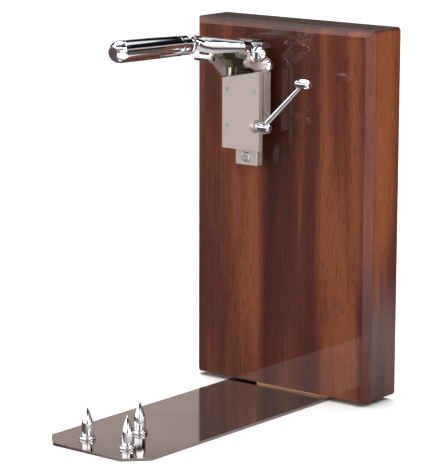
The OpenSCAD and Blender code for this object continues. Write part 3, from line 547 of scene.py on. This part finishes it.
# where the CAD stands: the board's front face, the head's middle and the two pivots, in mm
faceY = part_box("backboard")[0][1] / mm
headX = (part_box("ram")[0][0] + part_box("ram")[1][0]) / 2 / mm
joints = {joint["name"]: joint for joint in frame["record"]["behaviour"]["joints"]}
pivotY, pivotZ = (value / mm for value in joints["lever_pivot"]["pos_m"][1:])
lockX, lockY, lockZ = (value / mm for value in joints["lock_pivot"]["pos_m"])


def turnedPiece(node, profile, spot, turn):
    slot, place = slotOf[node], [value * mm for value in spot]
    mesh = turnedMesh(plainName(node), spread(profile), [place], turn, slot)
    return addPiece(plainName(node), mesh, finishes[slot], bodyOf[node], (node,))


# the handle's turned pieces, along the axis from the yoke's front end; lengths in mm, angles in degrees
handle = {
    "tilt": 1.5, "rise": 15.0, "front": 114.0, "radius": 11.5, "ferrule": 22.0, "grip": 86.0, "cap": 14.0,
    "frontNarrowing": 0.9, "swell": 0.3, "gripStep": 0.1, "capRim": 3.0, "capArc": 60, "capFlat": 0.48,
}


def gripSpot(look, along):
    a = math.radians(look["tilt"])
    return (headX, faceY - look["front"] - along * math.cos(a), pivotZ + look["rise"] + along * math.sin(a))


def turnHandle(look):
    r, f = look["radius"], look["ferrule"]
    turn = (math.radians(90 - look["tilt"]), 0, 0)
    start = gripSpot(look, 0)
    # a rounded front edge, a groove, and a raised ring at the back
    turnedPiece("ferrule", [
        (0.4, 0), (0.4, r - 2.6), (0.9, r - 1.7), (1.7, r - 1.25), (4.8, r - 1.2), (5.3, r - 1.5),
        (5.9, r - 2.0), (7.1, r - 2.0), (7.7, r - 1.5), (8.2, r - 1.2), (f - 3.2, r - 1.2),
        (f - 2.8, r - 0.8), (f - 2.2, r - 0.6), (f - 0.1, r - 0.65), (f, 0)], start, turn)
    count = 28
    body = []
    for i in range(count + 1):
        share = i / count
        narrowing = look["frontNarrowing"] * (1 - i / count)
        swell = look["swell"] * math.sin(math.pi * share)
        body.append((f + look["grip"] * i / count, r - narrowing + swell - look["gripStep"]))
    turnedPiece("grip", [(f, 0), (f, r - 1.6)] + body + [(f + look["grip"], 0)], start, turn)
    # the cap's rim, then its dome up to a small flat
    z, rim = f + look["grip"], look["capRim"]
    full = math.sin(math.radians(look["capArc"]))
    dome = []
    for degrees in range(0, look["capArc"] + 1, 5):
        a = math.radians(degrees)
        dome.append((z + rim + (look["cap"] - rim) * math.sin(a) / full, r * math.cos(a)))
    turnedPiece("grip_cap", [(z, 0), (z, r - 0.35), (z + 0.35, r)] + dome
                + [(z + look["cap"], r * look["capFlat"]), (z + look["cap"] + 0.02, 0)], start, turn)


turnHandle(handle)


# one spike, in mm
spikes = {"height": 35.0, "point": 18.0, "radius": 6.0, "collar": 8.25, "collarHeight": 3.5,
          "pointCurve": 1.2, "pointRadius": 0.2}


def turnSpikes(look):
    r, c, h = look["radius"], look["collar"], look["collarHeight"]
    shank = look["height"] - look["point"]
    count = 10
    cone = [(shank + look["point"] * i / count,
             max(look["pointRadius"], r * (1 - (i / count) ** look["pointCurve"])))
            for i in range(count + 1)]
    profile = [(0, 0), (0, c - 0.6), (0.2, c - 0.15), (0.6, c), (h - 0.9, c), (h - 0.3, c - 0.3),
               (h, c - 0.9), (h + 0.05, r + 0.5), (h + 0.6, r)] + cone + [(look["height"], 0)]
    names = ("spike_left", "spike_right", "spike_rear")
    boxes = [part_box(name) for name in names]
    spots = [((a[0] + b[0]) / 2, (a[1] + b[1]) / 2, a[2]) for a, b in boxes]
    mesh = turnedMesh("spikes", spread(profile), spots, (0, 0, 0), "chrome")
    addPiece("spikes", mesh, finishes["chrome"], bodyOf["spike_left"], names)


turnSpikes(spikes)


# the lock lever: lengths in mm, its lean in degrees
lockLever = {"hubLength": 18.5, "hubRadius": 5.6, "knobLength": 18.0, "knobRadius": 5.75, "narrowing": 0.34,
             "narrowingCurve": 2.2, "endRound": 0.3, "endStep": 0.5, "rodFoot": 2.0, "rodFootLength": 3.0,
             "knobOverlap": 4.0, "rodLength": 73.0, "lean": 44.0, "rodStart": 4.9,
             "rootRadius": 3.3, "tipRadius": 2.2}


def turnLockLever(look):
    def barrel(length, radius):
        count = 24
        side = [(length * (i / count - 0.5), 
                 radius * (1 - look["narrowing"] * abs(2 * i / count - 1) ** look["narrowingCurve"]))
                for i in range(count + 1)]
        end, edge, inset = length / 2, side[0][1], look["endRound"]
        face = edge - look["endStep"]
        side[0], side[-1] = (-end + inset, edge), (end - inset, side[-1][1])
        return [(-end, 0), (-end, face)] + side + [(end, face), (end, 0)]
    centre = (lockX, lockY, lockZ)
    sideways = (0, math.radians(90), 0)
    lean = math.radians(look["lean"])
    knob = (lockX + look["rodLength"] * math.cos(lean), lockY, lockZ + look["rodLength"] * math.sin(lean))
    turnedPiece("lock_hub", barrel(look["hubLength"], look["hubRadius"]), centre, sideways)
    turnedPiece("lock_knob", barrel(look["knobLength"], look["knobRadius"]), knob, sideways)
    first, last, foot = look["rodStart"], look["rodLength"] - look["knobOverlap"], look["rodFoot"]
    shoulder = first + look["rodFootLength"]
    turnedPiece("lock_rod", [
        (first, 0), (first, foot), (shoulder, foot), (shoulder + 0.1, look["rootRadius"]),
        (last, look["tipRadius"]), (last, 0)], centre, (0, math.radians(90) - lean, 0))


turnLockLever(lockLever)


# in mm, its start measured from the head's middle
pivotCap = {"length": 19.0, "radius": 4.25, "start": -30.0}


def turnPivotCap(look):
    r, end = look["radius"], look["length"]
    turnedPiece("pivot_cap", [
        (0, 0), (0, r - 0.3), (0.3, r), (end - 2.2, r), (end - 1.2, r - 0.3), (end - 0.4, r - 1.1),
        (end, r - 2.2), (end, 0)], (headX + look["start"], pivotY, pivotZ), (0, math.radians(-90), 0))


turnPivotCap(pivotCap)
print("turned pieces made")


# in mm, left and right measured from the head's middle
springLook = {"wire": 0.9, "coils": 7.0, "left": -20.2, "right": -11.2, "radius": 7.9}


def coilGraph():
    # a coil of round wire along its axis
    group, entry = newGraph("coiledWire", {
        "Coils": "NodeSocketFloat", "Coil radius": "NodeSocketFloat", "Wire radius": "NodeSocketFloat",
        "Length": "NodeSocketFloat", "Start": "NodeSocketVector", "Material": "NodeSocketMaterial"})
    coil = addNode(group, "GeometryNodeCurveSpiral", {
        "Resolution": 48, "Rotations": entry.outputs["Coils"], "Start Radius": entry.outputs["Coil radius"],
        "End Radius": entry.outputs["Coil radius"], "Height": entry.outputs["Length"]}).outputs[0]
    ring = addNode(group, "GeometryNodeCurvePrimitiveCircle", {
        "Resolution": 16, "Radius": entry.outputs["Wire radius"]}).outputs[0]
    wire = addNode(group, "GeometryNodeCurveToMesh", {
        "Curve": coil, "Profile Curve": ring, "Fill Caps": True})
    turned = addNode(group, "GeometryNodeTransform", {
        "Geometry": wire.outputs[0], "Translation": entry.outputs["Start"],
        "Rotation": (0, math.radians(90), 0)}).outputs[0]
    endGraph(group, entry, turned)
    return group


def windSpring(look):
    base = bpy.data.meshes.new("springSeed")
    base.from_pydata([(0, 0, 0)], [], [])
    mesh = grownMesh("returnSpring", coilGraph(), base, {
        "Coils": look["coils"], "Coil radius": look["radius"] * mm, "Wire radius": look["wire"] * mm,
        "Length": (look["right"] - look["left"]) * mm, "Material": finishes["dark_steel"],
        "Start": ((headX + look["left"]) * mm, pivotY * mm, pivotZ * mm)})
    addPiece("returnSpring", mesh, finishes["dark_steel"], "stand", ("return_spring",))


windSpring(springLook)
print("spring wound")


# stands in mm out from the board's face, heights in mm over the pivot, angles in degrees
yokeLook = {
    "tail": 12.0, "back": 29.0, "straight": 58.0, "front": 114.0, "halfWidth": 28.5, "noseHalfWidth": 7.5,
    "wall": 3.0, "top": 2.5, "rise": 9.0, "pivotStand": 39.0, "pivotHeight": 13.57, "eye": 8.5,
    "shoulder": 12.0, "crown": 0.6, "gripRise": 15.0, "noseLength": 9.0, "noseDrop": 5.7,
    "belly": 4.5, "bellyRise": 0.5, "tailFoot": 5.5, "noseRun": 20, "tailEdge": 1.2, "noseInset": 0.2,
    "noseTopDrop": 2.0, "bevel": 0.35, "sharp": 34, "bevelFrom": 40, "loftStep": 1.5, "tailStep": 1.0,
}


def pressedYoke(look):
    # a pressed fork: walls and a top that run together over round shoulders, lofted along the lever
    belly, tail = look["belly"], look["tailFoot"]
    nose = look["gripRise"] - look["noseDrop"]
    lower = [(look["tail"], tail), (look["pivotStand"] - look["eye"], tail - 1),
             (look["pivotStand"] + look["eye"], belly), (look["straight"], belly + look["bellyRise"]),
             (look["front"] - look["noseRun"], belly + look["bellyRise"]), (look["front"], nose)]

    def lowerAt(stand):
        level = lower[-1][1]
        for (s0, z0), (s1, z1) in zip(lower, lower[1:]):
            if s0 <= stand <= s1:
                level = z0 + (z1 - z0) * (stand - s0) / (s1 - s0)
                break
        off = stand - look["pivotStand"]
        if abs(off) < look["eye"]:
            level = min(level, -math.sqrt(look["eye"] ** 2 - off ** 2))
        return level

    def upperAt(stand):
        level = look["pivotHeight"] + (stand - look["pivotStand"]) * math.tan(math.radians(look["rise"]))
        return level - max(0.0, look["tail"] + 3 - stand)

    def widthAt(stand):
        share = (stand - look["straight"]) / (look["front"] - look["straight"])
        return look["halfWidth"] + (look["noseHalfWidth"] - look["halfWidth"]) * max(0.0, share)

    def arcPath(half, level, foot, radius, crown):
        # half of a section, from the foot of the wall up over the shoulder to the middle
        path = [(half, foot), (half, foot + (level - radius - foot) * 0.5)]
        for i in range(9):
            a = math.radians(90 * i / 8)
            path.append((half - radius + radius * math.cos(a), level - radius + radius * math.sin(a)))
        inner = half - radius
        path += [(inner * (1 - t), level + crown * (1 - (1 - t) ** 2)) for t in (0.25, 0.5, 0.75)]
        return path

    def section(stand):
        half, level, foot = widthAt(stand), upperAt(stand), lowerAt(stand)
        grown = 3.0 + 0.75 * (stand - look["back"])
        radius = min(look["shoulder"], grown, (level - foot) * 0.62, half - 1.0)
        crown = look["crown"] * min(1.0, max(0.0, (half - radius) / 20))
        outer = arcPath(half, level - crown, foot, radius, crown)
        wall = min(look["wall"], half - 2.0)
        innerRadius = max(0.6, radius - look["top"])
        inner = arcPath(half - wall, level - crown - look["top"], foot, innerRadius, crown)
        rightOuter = outer + [(0.0, level)]
        rightInner = inner + [(0.0, level - look["top"])]
        mirror = [(-x, z) for x, z in reversed(rightOuter[:-1])]
        mirrorInner = [(-x, z) for x, z in reversed(rightInner[:-1])]
        return rightOuter + mirror, rightInner + mirrorInner

    shape = bmesh.new()

    def point(x, stand, level):
        return shape.verts.new(((headX + x) * mm, (faceY - stand) * mm, (pivotZ + level) * mm))

    def loft(rings):
        # joins closed loops of verts, each to the next
        for one, two in zip(rings, rings[1:]):
            count = len(one)
            for i in range(count):
                shape.faces.new((one[i], one[(i + 1) % count], two[(i + 1) % count], two[i]))

    def closeEnds(rings):
        shape.faces.new(rings[0])
        shape.faces.new(list(reversed(rings[-1])))

    def standsBetween(start, end, step):
        count = max(1, round((end - start) / step))
        marks = {start + (end - start) * i / count for i in range(count + 1)}
        return sorted(marks | {s for s, z in lower if start < s < end})

    # the covered length: one bridge-shaped loop for each stand
    rings = []
    for stand in standsBetween(look["back"], look["front"], look["loftStep"]):
        outer, inner = section(stand)
        rings.append([point(x, stand, z) for x, z in outer + list(reversed(inner))])
    loft(rings)
    half = len(rings[0]) // 2
    for ring in (rings[0], rings[-1]):
        for i in range(half - 1):
            shape.faces.new((ring[i], ring[i + 1], ring[2 * half - 2 - i], ring[2 * half - 1 - i]))

    # the two tails behind it
    for side in (-1, 1):
        rings = []
        for stand in standsBetween(look["tail"], look["back"] + 0.05, look["tailStep"]):
            low, top, out, edge = lowerAt(stand), upperAt(stand), look["halfWidth"], look["tailEdge"]
            within = out - look["wall"]
            loop = [(out, low), (out, top - edge - 1.5), (out - 0.35, top - edge), (out - edge, top - 0.35),
                    (within + 0.4, top - 0.1), (within, top - 0.6), (within, low)]
            rings.append([point(side * x, stand, z) for x, z in loop])
        loft(rings)
        closeEnds(rings)

    # the solid nose that holds the tang
    front, back = look["front"] - 0.1, look["front"] - look["noseLength"]
    out = look["noseHalfWidth"] - look["noseInset"]
    rings = []
    for stand in (back, front):
        top = upperAt(stand) - look["noseTopDrop"]
        rings.append([point(x, stand, z) for x, z in ((-out, nose), (out, nose), (out, top), (-out, top))])
    loft(rings)
    closeEnds(rings)

    bmesh.ops.recalc_face_normals(shape, faces=shape.faces)
    mesh = bpy.data.meshes.new("yoke")
    shape.to_mesh(mesh)
    shape.free()
    for polygon in mesh.polygons:
        polygon.use_smooth = True
    mesh.set_sharp_from_angle(angle=math.radians(look["sharp"]))
    piece = addPiece("yoke", mesh, finishes["chrome"], "lever", ("yoke",))
    bevel = piece.modifiers.new("roundedEdges", "BEVEL")
    bevel.width, bevel.segments, bevel.limit_method = look["bevel"] * mm, 2, "ANGLE"
    bevel.angle_limit, bevel.harden_normals = math.radians(look["bevelFrom"]), True


pressedYoke(yokeLook)
print("yoke pressed")
